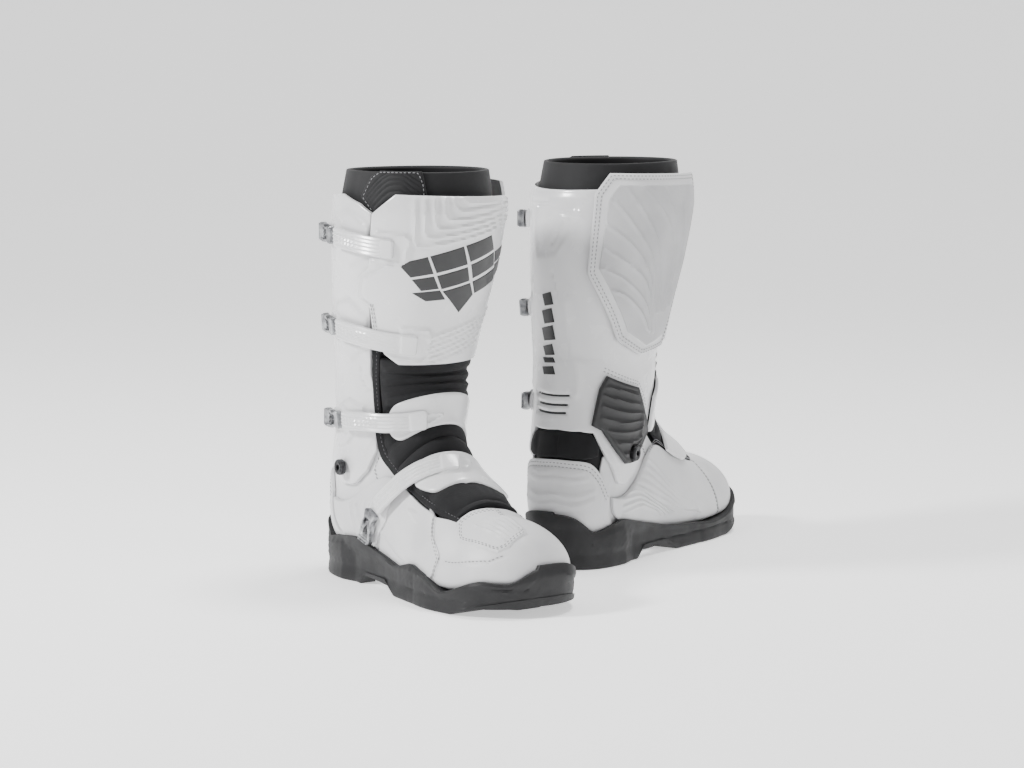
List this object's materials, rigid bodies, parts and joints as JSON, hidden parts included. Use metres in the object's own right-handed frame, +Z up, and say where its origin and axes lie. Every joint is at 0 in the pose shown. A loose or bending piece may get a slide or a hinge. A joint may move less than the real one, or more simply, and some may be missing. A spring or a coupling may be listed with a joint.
{
  "type": "motocross boots",
  "caption": "Pair of tall hinged off-road riding boots with moulded shells, ladder straps, metal levers, textile bellows and moulded rubber soles.",
  "frame": {"origin": "middle of the footprint of the pair, on the ground under the soles", "axes": "+Z up; the pair is seen from the front along +Y, with the right boot at -X and the left boot at +X; the right toe points towards +X and -Y, the left toe towards +X and +Y"},
  "size_m": [0.4068, 0.5093, 0.387],
  "materials": {
    "gloss_white": "glossy moulded polyurethane, white",
    "leather_white": "white coated microfibre with a soft sheen and embossed lines",
    "textile_black": "black elastic textile, quilted into folds",
    "lining": "black neoprene collar and mesh lining",
    "rubber": "matt black moulded rubber",
    "aluminium": "bright polished",
    "steel_black": "black plated"
  },
  "bodies": {
    "right_foot": {"right_outsole": "rubber", "right_shank_plate": "gloss_white", "right_footbed": "lining", "right_liner": "lining", "right_toe_box": "leather_white", "right_lateral_foot_panel": "leather_white", "right_medial_foot_panel": "leather_white", "right_heel_counter": "leather_white", "right_front_bellows": "textile_black", "right_rear_bellows": "textile_black", "right_instep_band": "gloss_white", "right_pivot_lateral": "steel_black", "right_pivot_medial": "steel_black", "right_buckle_base_4": "gloss_white"},
    "right_cuff": {"right_calf_shell": "gloss_white", "right_calf_guard": "leather_white", "right_ankle_guard": "rubber", "right_ankle_band": "gloss_white", "right_buckle_base_1": "gloss_white", "right_buckle_base_2": "gloss_white", "right_buckle_base_3": "gloss_white"},
    "right_shin_flap": {"right_shin_plate": "gloss_white"},
    "right_strap_1": {"right_strap_1": "gloss_white"},
    "right_lever_1": {"right_lever_1": "aluminium"},
    "right_strap_2": {"right_strap_2": "gloss_white"},
    "right_lever_2": {"right_lever_2": "aluminium"},
    "right_strap_3": {"right_strap_3": "gloss_white"},
    "right_lever_3": {"right_lever_3": "aluminium"},
    "right_strap_4": {"right_strap_4": "gloss_white"},
    "right_lever_4": {"right_lever_4": "aluminium"},
    "left_foot": {"left_outsole": "rubber", "left_shank_plate": "gloss_white", "left_footbed": "lining", "left_liner": "lining", "left_toe_box": "leather_white", "left_lateral_foot_panel": "leather_white", "left_medial_foot_panel": "leather_white", "left_heel_counter": "leather_white", "left_front_bellows": "textile_black", "left_rear_bellows": "textile_black", "left_instep_band": "gloss_white", "left_pivot_lateral": "steel_black", "left_pivot_medial": "steel_black", "left_buckle_base_4": "gloss_white"},
    "left_cuff": {"left_calf_shell": "gloss_white", "left_calf_guard": "leather_white", "left_ankle_guard": "rubber", "left_ankle_band": "gloss_white", "left_buckle_base_1": "gloss_white", "left_buckle_base_2": "gloss_white", "left_buckle_base_3": "gloss_white"},
    "left_shin_flap": {"left_shin_plate": "gloss_white"},
    "left_strap_1": {"left_strap_1": "gloss_white"},
    "left_lever_1": {"left_lever_1": "aluminium"},
    "left_strap_2": {"left_strap_2": "gloss_white"},
    "left_lever_2": {"left_lever_2": "aluminium"},
    "left_strap_3": {"left_strap_3": "gloss_white"},
    "left_lever_3": {"left_lever_3": "aluminium"},
    "left_strap_4": {"left_strap_4": "gloss_white"},
    "left_lever_4": {"left_lever_4": "aluminium"}
  },
  "joints": [
    {"name": "right_ankle_flex", "type": "hinge", "parent": "right_foot", "child": "right_cuff", "pos_m": [-0.14198, -0.04605, 0.108], "axis": [0.8171, 0.5764, 0], "range_deg": [-8, 6], "deforming": ["right_front_bellows", "right_rear_bellows", "right_liner"]},
    {"name": "right_shin_flap_open", "type": "hinge", "parent": "right_cuff", "child": "right_shin_flap", "pos_m": [-0.04715, -0.07253, 0.28601], "axis": [0.2285, -0.2227, 0.9477], "range_deg": [0, 35]},
    {"name": "right_strap_1_swing", "type": "hinge", "parent": "right_shin_flap", "child": "right_strap_1", "pos_m": [-0.13262, -0.16371, 0.31861], "axis": [0.0256, -0.2095, 0.9775], "range_deg": [0, 60]},
    {"name": "right_lever_1_open", "type": "hinge", "parent": "right_strap_1", "child": "right_lever_1", "pos_m": [-0.19102, -0.11624, 0.32761], "axis": [-0.0212, -0.0898, 0.9957], "range_deg": [0, 95]},
    {"name": "right_strap_2_swing", "type": "hinge", "parent": "right_shin_flap", "child": "right_strap_2", "pos_m": [-0.11236, -0.14213, 0.22953], "axis": [0.0937, -0.2606, 0.9609], "range_deg": [0, 60]},
    {"name": "right_lever_2_open", "type": "hinge", "parent": "right_strap_2", "child": "right_lever_2", "pos_m": [-0.19086, -0.09764, 0.24181], "axis": [-0.0666, -0.1166, 0.9909], "range_deg": [0, 95]},
    {"name": "right_strap_3_swing", "type": "hinge", "parent": "right_cuff", "child": "right_strap_3", "pos_m": [-0.10394, -0.13317, 0.1601], "axis": [-0.1109, 0.0054, 0.9938], "range_deg": [0, 35]},
    {"name": "right_lever_3_open", "type": "hinge", "parent": "right_strap_3", "child": "right_lever_3", "pos_m": [-0.18666, -0.08804, 0.15409], "axis": [-0.0868, 0.032, 0.9957], "range_deg": [0, 95]},
    {"name": "right_strap_4_swing", "type": "hinge", "parent": "right_foot", "child": "right_strap_4", "pos_m": [-0.07451, -0.14743, 0.12238], "axis": [-0.1386, 0.8096, 0.5704], "range_deg": [0, 60]},
    {"name": "right_lever_4_open", "type": "hinge", "parent": "right_strap_4", "child": "right_lever_4", "pos_m": [-0.1554, -0.12438, 0.07367], "axis": [-0.5163, 0.7438, 0.4244], "range_deg": [0, 95]},
    {"name": "left_ankle_flex", "type": "hinge", "parent": "left_foot", "child": "left_cuff", "pos_m": [0.0443, 0.03749, 0.108], "axis": [-0.8625, 0.506, 0], "range_deg": [-8, 6], "deforming": ["left_front_bellows", "left_rear_bellows", "left_liner"]},
    {"name": "left_shin_flap_open", "type": "hinge", "parent": "left_cuff", "child": "left_shin_flap", "pos_m": [0.13658, 0.07182, 0.28601], "axis": [-0.2091, -0.2411, -0.9477], "range_deg": [0, 35]},
    {"name": "left_strap_1_swing", "type": "hinge", "parent": "left_shin_flap", "child": "left_strap_1", "pos_m": [0.04378, 0.15552, 0.31861], "axis": [-0.008, -0.2109, -0.9775], "range_deg": [0, 60]},
    {"name": "left_lever_1_open", "type": "hinge", "parent": "left_strap_1", "child": "left_lever_1", "pos_m": [-0.01044, 0.10332, 0.32761], "axis": [0.0287, -0.0878, -0.9957], "range_deg": [0, 95]},
    {"name": "left_strap_2_swing", "type": "hinge", "parent": "left_shin_flap", "child": "left_strap_2", "pos_m": [0.06578, 0.13571, 0.22953], "axis": [-0.0716, -0.2675, -0.9609], "range_deg": [0, 60]},
    {"name": "left_lever_2_open", "type": "hinge", "parent": "left_strap_2", "child": "left_lever_2", "pos_m": [-0.00873, 0.08481, 0.24181], "axis": [0.0762, -0.1106, -0.9909], "range_deg": [0, 95]},
    {"name": "left_strap_3_swing", "type": "hinge", "parent": "left_cuff", "child": "left_strap_3", "pos_m": [0.07492, 0.12749, 0.1601], "axis": [0.1101, 0.0146, -0.9938], "range_deg": [0, 35]},
    {"name": "left_lever_3_open", "type": "hinge", "parent": "left_strap_3", "child": "left_lever_3", "pos_m": [-0.00374, 0.0756, 0.15409], "axis": [0.0838, 0.0391, -0.9957], "range_deg": [0, 95]},
    {"name": "left_strap_4_swing", "type": "hinge", "parent": "left_foot", "child": "left_strap_4", "pos_m": [0.10305, 0.14416, 0.12238], "axis": [0.0703, 0.8184, -0.5704], "range_deg": [0, 60]},
    {"name": "left_lever_4_open", "type": "hinge", "parent": "left_strap_4", "child": "left_lever_4", "pos_m": [0.02438, 0.11442, 0.07367], "axis": [0.4523, 0.7844, -0.4244], "range_deg": [0, 95]},
    {"name": "left_boot_lift", "type": "slide", "parent": "right_foot", "child": "left_foot", "axis": [0, 0, 1], "range_m": [0, 0.45]}
  ]
}
